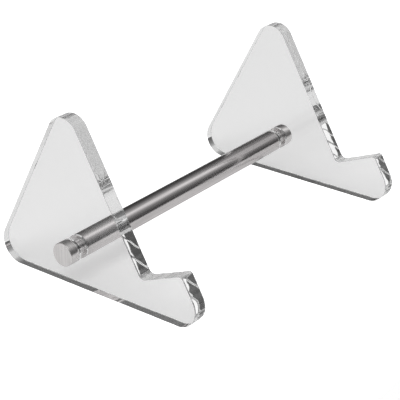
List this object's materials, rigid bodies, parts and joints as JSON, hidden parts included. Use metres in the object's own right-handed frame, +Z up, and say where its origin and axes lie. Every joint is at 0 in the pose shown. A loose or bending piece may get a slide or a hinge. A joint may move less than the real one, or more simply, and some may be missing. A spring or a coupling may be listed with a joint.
{
  "type": "plate display stand",
  "caption": "Low table stand that holds a plate upright: clear hooked side panels joined by a brushed metal rod and screw-on end caps.",
  "frame": {"origin": "on the table under the middle of the stand", "axes": "+X along the rod towards the right-hand panel, -Y towards the front where the hooks are, +Z up"},
  "size_m": [0.1862, 0.119, 0.085],
  "materials": {
    "clear_acrylic": "polished",
    "brushed_stainless": "satin",
    "stud_steel": "satin",
    "clear_washer": "gloss"
  },
  "bodies": {
    "rod": {"cross_rod": "brushed_stainless", "left_inner_washer": "clear_washer", "right_inner_washer": "clear_washer"},
    "left_side": {"left_side_panel": "clear_acrylic"},
    "right_side": {"right_side_panel": "clear_acrylic"},
    "left_washer": {"left_outer_washer": "clear_washer"},
    "right_washer": {"right_outer_washer": "clear_washer"},
    "left_cap": {"left_end_cap": "brushed_stainless", "left_threaded_stud": "stud_steel"},
    "right_cap": {"right_end_cap": "brushed_stainless", "right_threaded_stud": "stud_steel"}
  },
  "joints": [
    {"name": "left_panel_swivel", "type": "hinge", "parent": "rod", "child": "left_side", "pos_m": [-0.0825, 0.0137, 0.0187], "axis": [1, 0, 0], "continuous": true},
    {"name": "right_panel_swivel", "type": "hinge", "parent": "rod", "child": "right_side", "pos_m": [0.0825, 0.0137, 0.0187], "axis": [1, 0, 0], "continuous": true},
    {"name": "left_cap_travel", "type": "slide", "parent": "rod", "child": "left_washer", "axis": [-1, 0, 0], "range_m": [0, 0.01]},
    {"name": "left_cap_turn", "type": "hinge", "parent": "left_washer", "child": "left_cap", "pos_m": [-0.0877, 0.0137, 0.0187], "axis": [-1, 0, 0], "range_deg": [0, 3600]},
    {"name": "right_cap_travel", "type": "slide", "parent": "rod", "child": "right_washer", "axis": [1, 0, 0], "range_m": [0, 0.01]},
    {"name": "right_cap_turn", "type": "hinge", "parent": "right_washer", "child": "right_cap", "pos_m": [0.0877, 0.0137, 0.0187], "axis": [1, 0, 0], "range_deg": [0, 3600]}
  ],
  "couplings": [
    {"joint": "left_cap_travel", "follows": "left_cap_turn", "m_per_rad": 0.00015915},
    {"joint": "right_cap_travel", "follows": "right_cap_turn", "m_per_rad": 0.00015915}
  ]
}
